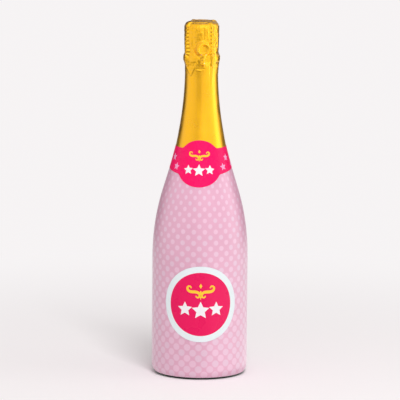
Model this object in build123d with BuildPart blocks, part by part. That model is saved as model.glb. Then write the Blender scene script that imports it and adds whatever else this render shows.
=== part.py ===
from build123d import *
import math
import os

# A full 75 cl bottle of sparkling wine, upright. Millimetres, +Z up. The origin is the centre
# of the ring that the bottle stands on, and the labels face -Y.

# Glass: the outside
glass_height = 307.0
body_radius = 43.45
heel_height = 9.0
heel_inset = 4.5
body_top = 109.0
neck_radius = 14.6
finish_height = 26.0
steepness_share = 1.776
shoulder_share = 0.403

# Glass: the inside and the punt
body_wall = 4.8
base_thickness = 7.0
punt_height = 30.0
punt_crown_radius = 20.0
punt_wall = 6.5
bearing_width = 7.65
inner_heel_share = 0.7
bore_radius = 8.75
bore_length = 32.0
bore_taper = 13.0

# Glass: the finish, which is the lip and the ring that the wire cage grips
lip_inset = 0.3
lip_height = 6.5
lip_round = 1.4
groove_depth = 1.1
groove_slope = 1.0
ring_overhang = 1.8
ring_drop = 16.0
ring_height = 5.0
ring_slope = 1.2
ring_round = 0.8

# Skins round the glass
skin_gap = 0.1
sleeve_thickness = 0.15
sleeve_foot = 2.0
sleeve_rise_share = 0.488
foil_thickness = 0.15
skirt_gap = 1.0
tear_drop = 1.3
tear_gap = 0.1
label_thickness = 0.12

# Round label on the body
label_radius = 35.0
label_middle = 70.6
label_turn = 2.2
label_points = 16

# Collar label on the neck
collar_overlap = 2.2
collar_height = 19.8
badge_radius = 21.75
badge_lift = 6.7
badge_turn = -2.2
collar_seam = 2.0

# Cork
cork_fit = 0.08
cork_depth = 25.0
disc_thickness = 5.5
head_radius = 15.0
head_height = 16.4
head_round = 3.5
head_seat_radius = 12.2
head_flare = 3.6

# Plaque on the cork
plate_gap = 0.05
plate_thickness = 0.3
plate_radius = 15.15
plate_round = 2.5
panel_radius = 8.6
panel_rise = 0.65
panel_slope = 0.8

# Wire cage
wire_radius = 0.475
wire_gap = 0.05
crown_turn = 1.5
leg_count = 4
first_leg_angle = 37.0
leg_gap = 0.15
leg_foot_round = 3.0
twist_turns = 4
twist_ease_share = 0.08
hook_length = 0.9
hook_round = 0.6

# Loop that untwists the cage
loop_angle = 7.0
loop_radius = 5.0
loop_turn = 2.0
loop_foot_round = 0.9
loop_stem_length = 6.0
loop_stem_turns = 1

# Foil hood over the cage
hood_gap = 0.1
hood_slack = 0.8
hood_throat_slack = 0.95
hood_round = 5.0
hood_waist_slope = 1.4
hood_throat_height = 3.0
hood_shoulder_drop = 2.0
hood_leg_side = 0.4
hood_loop_splay = 20.0

overrun = 5.0

# Derived sizes of the outline
neck_top = glass_height - finish_height
taper = body_radius - neck_radius
rise = neck_top - body_top
slope = steepness_share * math.atan(taper / rise)
both_radii = (rise * math.sin(slope) - taper * math.cos(slope)) / (1 - math.cos(slope))
shoulder_radius = shoulder_share * both_radii
neck_curve_radius = both_radii - shoulder_radius
shoulder_centre = body_radius - shoulder_radius
neck_centre = neck_radius + neck_curve_radius
heel_radius = (heel_inset**2 + heel_height**2) / (2 * heel_inset)
heel_centre = body_radius - heel_radius


def outline_radius(height, offset):
    """Radius of the glass at a height, moved outwards by an offset."""
    shoulder_end = body_top + (shoulder_radius + offset) * math.sin(slope)
    neck_start = neck_top - (neck_curve_radius - offset) * math.sin(slope)
    if height < heel_height:
        return heel_centre + math.sqrt((heel_radius + offset) ** 2 - (heel_height - height) ** 2)
    if height <= body_top:
        return body_radius + offset
    if height <= shoulder_end:
        return shoulder_centre + math.sqrt((shoulder_radius + offset) ** 2 - (height - body_top) ** 2)
    if height < neck_start:
        foot = shoulder_centre + (shoulder_radius + offset) * math.cos(slope)
        return foot - (height - shoulder_end) * math.tan(slope)
    if height < neck_top:
        return neck_centre - math.sqrt((neck_curve_radius - offset) ** 2 - (neck_top - height) ** 2)
    return neck_radius + offset


def trace_outline(low, high, offset):
    """Draw the glass outline, moved outwards by an offset, between two heights."""
    shoulder_end = body_top + (shoulder_radius + offset) * math.sin(slope)
    neck_start = neck_top - (neck_curve_radius - offset) * math.sin(slope)
    joints = [z for z in (heel_height, body_top, shoulder_end, neck_start, neck_top) if low < z < high]
    heights = [low] + joints + [high]
    for foot, head in zip(heights, heights[1:]):
        middle = (foot + head) / 2
        start = (outline_radius(foot, offset), foot)
        end = (outline_radius(head, offset), head)
        is_straight = (
            heel_height <= middle <= body_top or shoulder_end <= middle <= neck_start or middle >= neck_top
        )
        if is_straight:
            Line(start, end)
        else:
            ThreePointArc(start, (outline_radius(middle, offset), middle), end)


def trace_skin(low, high, inner, outer):
    """Draw the closed section of a skin between two offsets and two heights."""
    trace_outline(low, high, inner)
    trace_outline(low, high, outer)
    for height in (low, high):
        Line((outline_radius(height, inner), height), (outline_radius(height, outer), height))


def facing_plane(turn):
    """Upright plane through the bottle's axis, facing the front, turned round the axis."""
    angle = math.radians(turn)
    return Plane(
        origin=(0, 0, 0),
        x_dir=(math.cos(angle), math.sin(angle), 0),
        z_dir=(math.sin(angle), -math.cos(angle), 0),
    )


# Glass bottle
inner_radius = body_radius - body_wall
punt_centre = punt_height - punt_crown_radius
punt_mouth = body_radius - heel_inset - bearing_width
punt_lean = math.acos(punt_crown_radius / math.hypot(punt_mouth, punt_centre)) - math.atan2(
    punt_centre, punt_mouth
)
punt_angle = math.degrees(punt_lean)
inner_crown = punt_crown_radius + punt_wall
inner_crown_side = inner_crown * math.cos(punt_lean)
inner_crown_height = punt_centre + inner_crown * math.sin(punt_lean)
trough_radius = inner_crown_side + (inner_crown_height - base_thickness) * math.tan(punt_lean)
inner_heel_round = inner_heel_share * (inner_radius - trough_radius)
bore_foot = glass_height - bore_length
bore_taper_foot = bore_foot - bore_taper
lip_radius = neck_radius - lip_inset
lip_foot = glass_height - lip_height
ring_radius = neck_radius + ring_overhang
ring_middle = glass_height - ring_drop
ring_foot = ring_middle - ring_height / 2
ring_top = ring_middle + ring_height / 2
groove_radius = lip_radius - groove_depth
ring_rise = (ring_radius - groove_radius) * ring_slope
with BuildPart() as glass_bottle:
    with BuildSketch(Plane.XZ):
        with BuildLine():
            trace_outline(0, neck_top, 0)
            FilletPolyline(
                (neck_radius, neck_top),
                (neck_radius, ring_foot - ring_slope / 2),
                (ring_radius, ring_foot + ring_slope / 2),
                (ring_radius, ring_top),
                (groove_radius, ring_top + ring_rise / 2),
                (groove_radius, lip_foot - groove_slope),
                (lip_radius, lip_foot),
                (lip_radius, glass_height),
                (bore_radius, glass_height),
                (bore_radius, bore_foot),
                (outline_radius(bore_taper_foot, -body_wall), bore_taper_foot),
                radius=[
                    ring_slope / 4,
                    ring_round,
                    ring_round,
                    groove_slope / 2,
                    groove_slope / 2,
                    groove_slope / 2,
                    lip_round,
                    lip_round,
                    lip_round,
                ],
            )
            trace_outline(body_top, bore_taper_foot, -body_wall)
            FilletPolyline(
                (inner_radius, body_top),
                (inner_radius, base_thickness),
                (trough_radius, base_thickness),
                (inner_crown_side, inner_crown_height),
                radius=[inner_heel_round, inner_heel_round / 4],
            )
            CenterArc((0, punt_centre), inner_crown, punt_angle, 90 - punt_angle)
            Line((0, punt_centre + inner_crown), (0, punt_height))
            CenterArc((0, punt_centre), punt_crown_radius, punt_angle, 90 - punt_angle)
            Line(
                (
                    punt_crown_radius * math.cos(punt_lean),
                    punt_centre + punt_crown_radius * math.sin(punt_lean),
                ),
                (punt_mouth, 0),
            )
            Line((punt_mouth, 0), (outline_radius(0, 0), 0))
        make_face()
    revolve(axis=Axis.Z)

# Heights of the closure under the ring: the belt wire, the hooks under it and the tear line
belt_height = ring_foot - ring_slope / 2 - wire_radius - hood_gap
belt_radius = neck_radius + wire_gap + wire_radius
hook_height = belt_height - wire_radius - wire_gap - wire_radius
hood_strand = wire_radius + hood_gap
waist_top = hook_height - hood_strand - hood_waist_slope
tear_height = waist_top - tear_drop

# Printed shrink sleeve on the body and shoulder
sleeve_top = body_top + sleeve_rise_share * rise
sleeve_face = skin_gap + sleeve_thickness
with BuildPart() as body_sleeve:
    with BuildSketch(Plane.XZ):
        with BuildLine():
            trace_skin(sleeve_foot, sleeve_top, skin_gap, sleeve_face)
        make_face()
    revolve(axis=Axis.Z)

# Foil round the neck, below the line where the hood tears off
skirt_foot = sleeve_top + skirt_gap
foil_face = skin_gap + foil_thickness
with BuildPart() as foil_skirt:
    with BuildSketch(Plane.XZ):
        with BuildLine():
            trace_skin(skirt_foot, tear_height, skin_gap, foil_face)
        make_face()
    revolve(axis=Axis.Z)

# Round label on the body: a disc of paper wrapped on the cylinder
label_back = sleeve_face + skin_gap
label_face = label_back + label_thickness
wrap_radius = body_radius + label_back
label_rim = [
    (
        wrap_radius * math.sin(label_radius * math.cos(turn) / wrap_radius),
        label_middle + label_radius * math.sin(turn),
    )
    for turn in [2 * math.pi * step / label_points for step in range(label_points)]
]
with BuildPart() as front_label:
    with BuildSketch(Plane.XZ):
        with BuildLine():
            trace_skin(
                label_middle - label_radius, label_middle + label_radius, label_back, label_face
            )
        make_face()
    revolve(axis=Axis.Z)
    with BuildSketch(facing_plane(label_turn)):
        with BuildLine():
            Spline(label_rim, periodic=True)
        make_face()
    extrude(amount=body_radius + overrun, mode=Mode.INTERSECT)

# Collar label round the neck, with a round badge in front and its seam at the back
collar_back = max(sleeve_face, foil_face) + skin_gap
collar_face = collar_back + label_thickness
collar_foot = sleeve_top - collar_overlap
collar_top = collar_foot + collar_height
badge_middle = collar_foot + badge_lift
badge_half_height = badge_radius * math.cos(slope)
badge_slant = outline_radius(badge_middle, collar_back) / math.sin(slope)
badge_rim = []
for step in range(label_points):
    turn = 2 * math.pi * step / label_points
    side, drop = badge_radius * math.cos(turn), badge_slant - badge_radius * math.sin(turn)
    rim_height = badge_middle + (badge_slant - math.hypot(side, drop)) * math.cos(slope)
    swing = math.atan2(side, drop) / math.sin(slope)
    badge_rim.append((outline_radius(rim_height, collar_back) * math.sin(swing), rim_height))
with BuildPart() as badge:
    with BuildSketch(Plane.XZ):
        with BuildLine():
            trace_skin(
                badge_middle - badge_half_height - overrun,
                badge_middle + badge_half_height + overrun,
                collar_back,
                collar_face,
            )
        make_face()
    revolve(axis=Axis.Z)
    with BuildSketch(facing_plane(badge_turn)):
        with BuildLine():
            Spline(badge_rim, periodic=True)
        make_face()
    extrude(amount=body_radius, mode=Mode.INTERSECT)
with BuildPart() as neck_label:
    with BuildSketch(Plane.XZ):
        with BuildLine():
            trace_skin(collar_foot, collar_top, collar_back, collar_face)
        make_face()
    revolve(axis=Axis.Z)
    with BuildSketch(Plane.XZ):
        with Locations((0, (collar_foot + collar_top) / 2)):
            Rectangle(collar_seam, collar_top - collar_foot + overrun)
    extrude(amount=-body_radius, mode=Mode.SUBTRACT)
    add(badge.part)

# Cork: an agglomerate body with two discs of natural cork glued under it
shank_radius = bore_radius - cork_fit
head_top = glass_height + head_height
cork_foot = glass_height - cork_depth
upper_disc_foot = cork_foot + disc_thickness
shank_foot = upper_disc_foot + disc_thickness
with BuildPart() as cork_body:
    with BuildSketch(Plane.XZ):
        with BuildLine():
            FilletPolyline(
                (0, shank_foot),
                (shank_radius, shank_foot),
                (shank_radius, glass_height),
                (head_seat_radius, glass_height),
                (head_radius, glass_height + head_flare),
                (head_radius, head_top),
                (0, head_top),
                radius=[0, 0, head_flare / 4, head_flare / 2, head_round],
            )
            Line((0, head_top), (0, shank_foot))
        make_face()
    revolve(axis=Axis.Z)
with BuildPart() as cork_disc_upper:
    with BuildSketch(Plane.XY.offset(upper_disc_foot)):
        Circle(shank_radius)
    extrude(amount=disc_thickness)
with BuildPart() as cork_disc_lower:
    with BuildSketch(Plane.XY.offset(cork_foot)):
        Circle(shank_radius)
    extrude(amount=disc_thickness)

# Plaque: a pressed disc with a raised panel, a flat for the wire ring and a turned-down rim
plate_flat = head_top + plate_gap + plate_thickness
plate_corner = plate_radius - plate_round
plate_rim = plate_flat - plate_round
panel_foot_radius = panel_radius + panel_slope
with BuildPart() as cap_plate:
    with BuildSketch(Plane.XZ):
        with BuildLine():
            for drop in (0, plate_thickness):
                Polyline(
                    (0, plate_flat + panel_rise - drop),
                    (panel_radius, plate_flat + panel_rise - drop),
                    (panel_foot_radius, plate_flat - drop),
                    (plate_corner, plate_flat - drop),
                )
                CenterArc((plate_corner, plate_rim), plate_round - drop, 0, 90)
            Line((0, plate_flat + panel_rise), (0, plate_flat + panel_rise - plate_thickness))
            Line((plate_radius, plate_rim), (plate_radius - plate_thickness, plate_rim))
        make_face()
    revolve(axis=Axis.Z)

# Wire cage: one wire that runs round the plaque and down and up each of four twisted legs
strand_offset = wire_radius + wire_gap / 2
twist_reach = strand_offset + wire_radius
crown_height = plate_flat + wire_gap + wire_radius
crown_radius = panel_foot_radius + wire_gap + wire_radius
leg_top_radius = max(head_radius + twist_reach, plate_radius + wire_radius) + wire_gap
leg_bend = leg_top_radius - plate_corner
leg_foot_radius = ring_radius + twist_reach + leg_gap
hairpin_centre = neck_radius + wire_gap + wire_radius + strand_offset


def local_point(radial, lateral, height):
    """Point in front of the bottle, given by its distance from the axis, side shift and height."""
    return Vector(lateral, -radial, height)


def eased_turn(share):
    """Share of a full twist done at a share of its length, with a gentle start and end."""
    ease = twist_ease_share
    if share < ease:
        return share**2 / (2 * ease) / (1 - ease)
    if share > 1 - ease:
        return 1 - (1 - share) ** 2 / (2 * ease) / (1 - ease)
    return (share - ease / 2) / (1 - ease)


def eased_rate(share):
    """Rate at which the twist turns at a share of its length."""
    return min(share, twist_ease_share, 1 - share) / twist_ease_share / (1 - twist_ease_share)


def draw_biarc(start, start_direction, end, end_direction):
    """Join two points by two arcs that meet both directions."""
    chord = end - start
    both = start_direction + end_direction
    along = chord.dot(both)
    spread = 2 * (1 - start_direction.dot(end_direction)) * chord.dot(chord)
    reach = chord.dot(chord) / (along + math.sqrt(along**2 + spread))
    near = start + start_direction * reach
    far = end - end_direction * reach
    TangentArc(start, (near + far) / 2, tangent=start_direction)
    TangentArc((near + far) / 2, end, tangent=(far - near).normalized())


def draw_twist(head, foot, side, turns):
    """Draw one strand of a twisted pair from head to foot, as arcs of an eighth of a turn."""
    axis = foot - head
    lateral = Vector(1, 0, 0)
    across = axis.cross(lateral).normalized()

    def strand(share):
        turn = 2 * math.pi * turns * eased_turn(share)
        turn_rate = 2 * math.pi * turns * eased_rate(share)
        shift = lateral * math.cos(turn) + across * math.sin(turn)
        swing = across * math.cos(turn) - lateral * math.sin(turn)
        point = head + axis * share + shift * (side * strand_offset)
        direction = axis + swing * (side * strand_offset * turn_rate)
        return point, direction.normalized()

    steps = 4 * turns + 2
    knots = [strand(step / steps) for step in range(steps + 1)]
    for (start, start_direction), (end, end_direction) in zip(knots, knots[1:]):
        draw_biarc(start, start_direction, end, end_direction)


def draw_bends(points, radii):
    """Draw straight runs from point to point, with an arc of the given radius at each corner."""
    place = points[0]
    for corner, after, radius in zip(points[1:], points[2:], radii):
        back = (place - corner).normalized()
        onward = (after - corner).normalized()
        cut = radius / math.tan(math.radians(back.get_angle(onward)) / 2)
        Line(place, corner + back * cut)
        TangentArc(corner + back * cut, corner + onward * cut, tangent=back * -1)
        place = corner + onward * cut
    Line(place, points[-1])


leg_corner = local_point(leg_top_radius, 0, crown_height)
leg_foot = local_point(leg_foot_radius, 0, ring_middle)
hook_corner = local_point(hairpin_centre + hook_length, 0, hook_height)
leg_down = (leg_foot - leg_corner).normalized()
foot_turn = math.radians(leg_down.get_angle(hook_corner - leg_foot))
twist_head = leg_corner + leg_down * leg_bend
twist_foot = leg_foot - leg_down * (leg_foot_round * foot_turn)
turn_side = strand_offset + crown_turn
turn_centre = math.sqrt((crown_radius + crown_turn) ** 2 - turn_side**2)
turn_start = math.asin(turn_side / (crown_radius + crown_turn))
turn_middle = (math.pi / 2 - turn_start) / 2
half_gap = math.pi / leg_count


def draw_leg_side(side):
    """Draw half of a leg's wire, from the middle of the crown ring down to the hook."""
    to_side = Vector(side * strand_offset, 0, 0)
    ring_points = [
        local_point(crown_radius * math.cos(angle), side * crown_radius * math.sin(angle), crown_height)
        for angle in (half_gap, (half_gap + turn_start) / 2, turn_start)
    ]
    ThreePointArc(*ring_points)
    ThreePointArc(
        ring_points[-1],
        local_point(
            turn_centre - crown_turn * math.sin(turn_middle),
            side * (turn_side - crown_turn * math.cos(turn_middle)),
            crown_height,
        ),
        local_point(turn_centre, side * strand_offset, crown_height),
    )
    draw_bends(
        [
            local_point(turn_centre, side * strand_offset, crown_height),
            leg_corner + to_side,
            twist_head + to_side,
        ],
        [leg_bend],
    )
    draw_twist(twist_head, twist_foot, side, twist_turns)
    draw_bends(
        [
            twist_foot + to_side,
            leg_foot + to_side,
            hook_corner + to_side,
            local_point(hairpin_centre, side * strand_offset, hook_height),
        ],
        [leg_foot_round, hook_round],
    )


with BuildLine() as leg_path:
    draw_leg_side(-1)
    draw_leg_side(1)
    ThreePointArc(
        local_point(hairpin_centre, -strand_offset, hook_height),
        local_point(hairpin_centre - strand_offset, 0, hook_height),
        local_point(hairpin_centre, strand_offset, hook_height),
    )
leg_wire = leg_path.wire()
with BuildPart() as leg:
    with BuildSketch(Plane(origin=leg_wire @ 0, z_dir=leg_wire % 0)):
        Circle(wire_radius)
    sweep(path=leg_wire)
with BuildPart() as cage_wire:
    with PolarLocations(0, leg_count, start_angle=first_leg_angle):
        add(leg.part)

# Belt wire, drawn tight under the ring, with its two ends led out to the loop
loop_plane = leg_foot_radius
loop_foot = ring_radius + leg_gap
with BuildPart() as belt_wire:
    with BuildSketch(Plane.XZ):
        with Locations((belt_radius, belt_height)):
            Circle(wire_radius)
    revolve(axis=Axis.Z)
    belt_side = Plane.XZ.rotated((0, 0, loop_angle)).offset(belt_radius)
    with BuildSketch(belt_side):
        with Locations((-strand_offset, belt_height), (strand_offset, belt_height)):
            Circle(wire_radius)
    extrude(amount=loop_foot - wire_gap - belt_radius)

# Loop: the ends of the belt wire, twisted together, opened into an eye and folded up
loop_stem_foot = belt_height + loop_foot_round
loop_stem_top = loop_stem_foot + loop_stem_length
eye_turn_side = strand_offset + loop_turn
eye_rise = math.sqrt((loop_radius + loop_turn) ** 2 - eye_turn_side**2)
eye_height = loop_stem_top + eye_rise
eye_angle = math.atan2(eye_rise, eye_turn_side)
loop_stem_start = local_point(loop_plane, 0, loop_stem_foot)
loop_stem_end = local_point(loop_plane, 0, loop_stem_top)


def draw_loop_side(side):
    """Draw half of the loop's wire, from beside the belt to the top of the eye."""
    to_side = Vector(side * strand_offset, 0, 0)
    draw_bends(
        [
            local_point(loop_foot, side * strand_offset, belt_height),
            local_point(loop_plane, side * strand_offset, belt_height),
            loop_stem_start + to_side + Vector(0, 0, wire_gap),
        ],
        [loop_foot_round],
    )
    draw_twist(loop_stem_start + Vector(0, 0, wire_gap), loop_stem_end, side, loop_stem_turns)
    middle = eye_angle / 2
    meet = local_point(
        loop_plane,
        side * loop_radius * math.cos(eye_angle),
        eye_height - loop_radius * math.sin(eye_angle),
    )
    ThreePointArc(
        loop_stem_end + to_side,
        local_point(
            loop_plane,
            side * (eye_turn_side - loop_turn * math.cos(middle)),
            loop_stem_top + loop_turn * math.sin(middle),
        ),
        meet,
    )
    ThreePointArc(
        meet,
        local_point(loop_plane, side * loop_radius, eye_height),
        local_point(loop_plane, 0, eye_height + loop_radius),
    )


with BuildLine() as loop_path:
    draw_loop_side(-1)
    draw_loop_side(1)
loop_wire = loop_path.wire()
with BuildPart() as loop:
    with BuildSketch(Plane(origin=loop_wire @ 0, z_dir=loop_wire % 0)):
        Circle(wire_radius)
    sweep(path=loop_wire)
with BuildPart() as wire_loop:
    with PolarLocations(0, 1, start_angle=loop_angle):
        add(loop.part)

# Foil hood: it wraps the plaque, the cage and the loop closely and ends at the tear line
hood_foot = tear_height + tear_gap
hood_reach = twist_reach + hood_gap


def hood_form(offset, foot):
    """Solid that fills the hood from a foot height up, moved outwards by an offset."""
    waist = neck_radius + skin_gap + offset
    belt = belt_radius + hood_strand + offset
    ring = ring_radius + hood_gap + offset
    throat = lip_radius + hood_throat_slack + offset
    side = head_radius + hood_slack + offset
    top = crown_height + hood_strand + offset
    eye_cover = loop_radius + hood_strand + offset
    cover_corner = leg_corner + leg_down * (hood_reach - hood_strand + wire_gap)
    with BuildPart() as leg_cover:
        with BuildLine() as cover_path:
            draw_bends(
                [
                    local_point(turn_centre, 0, cover_corner.Z),
                    cover_corner,
                    leg_foot,
                    hook_corner + (hook_corner - leg_foot).normalized() * hood_reach,
                ],
                [leg_bend, leg_foot_round],
            )
        with BuildSketch(Plane(origin=cover_path.wire() @ 0, x_dir=(1, 0, 0), z_dir=(0, -1, 0))):
            SlotOverall(2 * (hood_reach + hood_leg_side + offset), 2 * (hood_reach + offset))
        sweep(path=cover_path.wire())
    with BuildPart() as loop_cover:
        with BuildSketch(Plane.XZ.offset(loop_plane + hood_reach + offset)):
            with Locations((0, (loop_stem_top + belt_height) / 2)):
                Rectangle(
                    2 * (hood_reach + offset),
                    loop_stem_top - belt_height + 2 * (hood_strand + offset),
                )
        extrude(amount=-(loop_plane - lip_radius))
        with BuildSketch(Plane.XZ.offset(loop_plane + hood_strand + offset)):
            with Locations((0, eye_height)):
                Circle(eye_cover)
            Polygon(
                (-hood_reach - offset, loop_stem_top - loop_turn),
                (hood_reach + offset, loop_stem_top - loop_turn),
                (eye_cover * math.cos(eye_angle / 2), eye_height - eye_cover * math.sin(eye_angle / 2)),
                (-eye_cover * math.cos(eye_angle / 2), eye_height - eye_cover * math.sin(eye_angle / 2)),
                align=None,
            )
        extrude(amount=-(loop_plane - lip_radius), taper=-hood_loop_splay)
    with BuildPart() as form:
        with BuildSketch(Plane.XZ):
            with BuildLine():
                Polyline(
                    (0, top),
                    (0, foot),
                    (waist, foot),
                    (waist, waist_top),
                    (belt, hook_height - hood_strand),
                    (belt, belt_height + wire_radius),
                    (ring, ring_foot),
                    (ring, ring_top),
                    (throat, ring_top + ring_rise / 2),
                    (throat, ring_top + ring_rise / 2 + hood_throat_height),
                    (side, glass_height - hood_shoulder_drop),
                    (side, top - hood_round),
                )
                RadiusArc((side, top - hood_round), (side - hood_round, top), -hood_round)
                Line((side - hood_round, top), (0, top))
            make_face()
        revolve(axis=Axis.Z)
        with PolarLocations(0, leg_count, start_angle=first_leg_angle):
            add(leg_cover.part)
        with PolarLocations(0, 1, start_angle=loop_angle):
            add(loop_cover.part)
    return form.part


with BuildPart() as foil_hood:
    add(hood_form(foil_thickness, hood_foot))
    add(hood_form(0, hood_foot - overrun), mode=Mode.SUBTRACT)

pieces = {
    "glass_bottle": glass_bottle,
    "body_sleeve": body_sleeve,
    "front_label": front_label,
    "neck_label": neck_label,
    "foil_skirt": foil_skirt,
    "foil_hood": foil_hood,
    "cap_plate": cap_plate,
    "cage_wire": cage_wire,
    "belt_wire": belt_wire,
    "wire_loop": wire_loop,
    "cork_body": cork_body,
    "cork_disc_upper": cork_disc_upper,
    "cork_disc_lower": cork_disc_lower,
}
os.makedirs("parts", exist_ok=True)
for name, piece in pieces.items():
    piece.part.label = name
    export_step(piece.part, f"parts/{name}.step")
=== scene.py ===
import math

import bpy
import numpy as np
from bpy.props import FloatProperty, FloatVectorProperty, PointerProperty
from mathutils import Matrix, Vector


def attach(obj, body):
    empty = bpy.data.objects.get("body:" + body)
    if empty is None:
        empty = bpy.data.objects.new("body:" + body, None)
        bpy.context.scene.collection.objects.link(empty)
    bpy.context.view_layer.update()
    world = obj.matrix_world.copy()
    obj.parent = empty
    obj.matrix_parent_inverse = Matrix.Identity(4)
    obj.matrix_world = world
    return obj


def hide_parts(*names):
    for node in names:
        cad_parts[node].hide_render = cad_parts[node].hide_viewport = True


bl_info = {
    "name": "Sparkling Wine Bottle Dressing",
    "version": (1, 0, 0),
    "blender": (4, 5, 0),
    "location": "View3D > Sidebar > Bottle",
    "description": "Sleeve, labels, foil and finishes of a sealed sparkling wine bottle",
    "category": "Object",
}

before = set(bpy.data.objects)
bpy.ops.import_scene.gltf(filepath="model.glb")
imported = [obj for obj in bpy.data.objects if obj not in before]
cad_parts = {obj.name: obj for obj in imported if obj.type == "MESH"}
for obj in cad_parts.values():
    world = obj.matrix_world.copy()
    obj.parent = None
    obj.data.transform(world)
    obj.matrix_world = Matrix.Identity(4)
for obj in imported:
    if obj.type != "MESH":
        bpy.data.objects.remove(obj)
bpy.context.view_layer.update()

# Shapes are worked out in millimetres and put into the meshes in metres
MM = 0.001

# Outline of the glass, millimetres
BODY_RADIUS = 43.45
NECK_RADIUS = 14.6
BODY_TOP = 109.0
NECK_TOP = 281.0
HEEL_HEIGHT = 9.0
HEEL_INSET = 4.5
STEEPNESS_SHARE = 1.776
SHOULDER_SHARE = 0.403
TAPER = BODY_RADIUS - NECK_RADIUS
RISE = NECK_TOP - BODY_TOP
SLOPE = STEEPNESS_SHARE * math.atan(TAPER / RISE)
BOTH_ARCS = (RISE * math.sin(SLOPE) - TAPER * math.cos(SLOPE)) / (1 - math.cos(SLOPE))
SHOULDER_ARC = SHOULDER_SHARE * BOTH_ARCS
NECK_ARC = BOTH_ARCS - SHOULDER_ARC
SHOULDER_CENTRE = BODY_RADIUS - SHOULDER_ARC
NECK_CENTRE = NECK_RADIUS + NECK_ARC
HEEL_ARC = (HEEL_INSET**2 + HEEL_HEIGHT**2) / (2 * HEEL_INSET)
HEEL_CENTRE = BODY_RADIUS - HEEL_ARC

# Skins, as distances outside the glass, and their ends, millimetres
SKIN_BACK = 0.1
SKIN_FACE = 0.25
FOIL_SLACK = 0.3
LABEL_BACK = 0.35
LABEL_FACE = 0.42
INK_BACK = 0.37
INK_FACE = 0.465
SLEEVE_FOOT = 2.0
SLEEVE_TOP = 192.94
DOT_ROW = 142.05
SKIRT_FOOT = 193.94
TEAR_HEIGHT = 283.05
LABEL_MIDDLE = 70.6
LABEL_RADIUS = 35.0
LABEL_TURN = math.radians(2.2)
COLLAR_FOOT = 190.74
COLLAR_TOP = 210.54
BADGE_MIDDLE = 197.44
BADGE_RADIUS = 21.75
BADGE_TURN = math.radians(-2.2)
COLLAR_SEAM = 2.0
COLLAR_FLARE = 3.2
FLARE_START, FLARE_LENGTH = 0.75, 0.75
COLLAR_FILLET = 2.4

# Prints: dots round the film, fade of a dot's edge in millimetres, a star's notch over its tip
DOTS_ROUND = 26
DOT_FADE = 0.55
STAR_NOTCH = 0.48

# Emblems: stars as (side, height, radius), then the scroll's width and height, millimetres
LABEL_EMBLEM = (((-14.5, -4.6, 7.0), (0, -5.8, 8.4), (14.5, -4.6, 7.0)), 25.0, 11.5)
BADGE_EMBLEM = (((-10, -5.4, 4.7), (0, -6.3, 5.8), (10, -5.4, 4.7)), 18.0, 7.2)

# Wires under the foil, millimetres and degrees
WIRE_REACH = 0.725
STRAND_OFFSET = 0.5
LEG_ANGLES = (-143.0, -53.0, 37.0, 127.0)
LEG_HEIGHTS = (283.5, 286.3, 291.0, 320.9)
LEG_RADII = (15.6, 16.4, 17.53, 16.03)
TWIST_TOP = 320.9
TWIST_FOOT = 291.8
TWIST_TURNS = 4
TWIST_EASE = 0.08
LOOP_ANGLE = 7.0
LOOP_PLANE = 17.53
LOOP_HEIGHT = 300.8
LOOP_RADIUS = 5.0
STEM_FOOT = 288.2
STEM_TOP = 294.2
KNOT_HEIGHT = 293.2
CROWN_RING = 9.925
CROWN_WIRE_HEIGHT = 324.275

# Hood before wires and folds, millimetres: heights and radii of its side, then its edge and top
HOOD_SIDE = (
    (283.1, 15.16), (284.6, 15.25), (285.7, 15.4), (286.6, 15.65), (287.5, 15.82), (288.3, 16.1),
    (289.2, 16.6), (291.0, 16.72), (293.2, 16.62), (294.6, 15.9), (296.0, 15.5), (298.6, 15.5),
    (301.5, 15.6), (305.5, 15.8), (310.0, 15.9), (320.0, 15.95),
)
EDGE_ROUND = 5.0
EDGE_HEIGHT = 319.3
TOP_REACH = 10.95
TOP_DOME = 0.5
HOOD_LIMIT = 324.98
HOOD_COLUMNS = 384

# Foil over the wires: how far round a wire shows, as a cosine, then knots as (lift, fall upwards,
# fall sideways), and the lifts and slopes of the forms between the wires
LEG_SHOWN, LOOP_SHOWN = 0.2, 0.6
LEG_KNOT, LOOP_KNOT = (1.45, 0.45, 0.8), (1.55, 0.4, 0.22)
VEIL_LIFT, VEIL_SWAY, VEIL_SLOPE = 0.55, 0.5, 0.9
SPAN_LIFT, SPAN_SLOPE = 0.4, 0.75
DISH_LIFT, DISH_DEPTH = 0.5, 1.25
STEM_SHOWN, STEM_SLOPE = (287.3, 295.8), 1.3

# Rows of the hood's section on its side, round its edge and on its top, and the edge's angles
SIDE_ROWS, BEND_ROWS, TOP_ROWS = 100, 24, 26
ON_BEND = slice(SIDE_ROWS, SIDE_ROWS + BEND_ROWS)
ON_TOP = slice(SIDE_ROWS + BEND_ROWS, None)
BEND = np.linspace(0, math.pi / 2, BEND_ROWS + 1)[1:]

# A height far below every surface, for where a form isn't there
NOWHERE = -99.0

# Usual range of a noise texture, and the strength and depth in metres of paper's grain
NOISE_RANGE = (0.3, 0.7)
PAPER_RELIEF = (0.15, 0.00003)

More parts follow.
